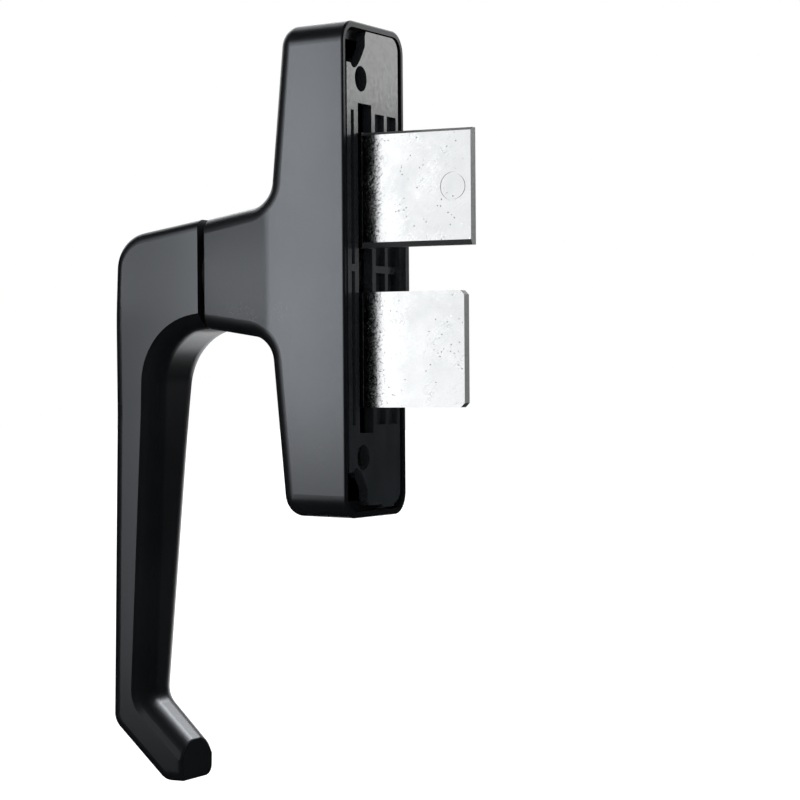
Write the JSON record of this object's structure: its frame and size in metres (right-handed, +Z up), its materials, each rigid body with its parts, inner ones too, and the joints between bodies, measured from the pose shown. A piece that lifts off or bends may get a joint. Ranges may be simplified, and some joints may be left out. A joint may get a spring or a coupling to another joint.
{
  "type": "window handle",
  "caption": "Casement window handle: lever on a long housing, turning a pinion that drives two flat prongs apart through a slot in the back plate.",
  "frame": {"origin": "turning axis of the lever on the mounting plane, which is the housing's back rim", "axes": "+Y out of the back, the way the prongs point into the window; +Z up along the housing; the lever hangs to -Z on the room side"},
  "size_m": [0.032, 0.1002, 0.1844],
  "materials": {
    "black_coat": "satin black powder coat",
    "black_plastic": "moulded black plastic, glossy",
    "black_nylon": "plain black nylon",
    "bright_zinc": "bright zinc plated casting with fine handling marks",
    "bright_steel": "zinc plated steel",
    "spring_steel": "oiled spring steel"
  },
  "bodies": {
    "base": {"housing": "black_coat", "back_plate": "black_plastic", "neck_bush": "black_nylon", "thrust_washer": "bright_steel", "detent_spring": "spring_steel", "upper_insert": "bright_steel", "lower_insert": "bright_steel"},
    "lever": {"lever": "black_coat", "drive_pinion": "bright_steel", "disc_spring": "spring_steel", "retaining_ring": "spring_steel"},
    "upper_slide": {"upper_slide": "bright_zinc"},
    "lower_slide": {"lower_slide": "bright_zinc"}
  },
  "joints": [
    {"name": "lever_turn", "type": "hinge", "parent": "base", "child": "lever", "pos_m": [0, 0, 0], "axis": [0, 1, 0], "range_deg": [0, 90], "deforming": ["detent_spring"]},
    {"name": "upper_travel", "type": "slide", "parent": "base", "child": "upper_slide", "axis": [0, 0, 1], "range_m": [0, 0.0059]},
    {"name": "lower_travel", "type": "slide", "parent": "base", "child": "lower_slide", "axis": [0, 0, -1], "range_m": [0, 0.0059]}
  ],
  "couplings": [
    {"joint": "upper_travel", "follows": "lever_turn", "m_per_rad": 0.00375},
    {"joint": "lower_travel", "follows": "lever_turn", "m_per_rad": 0.00375}
  ]
}
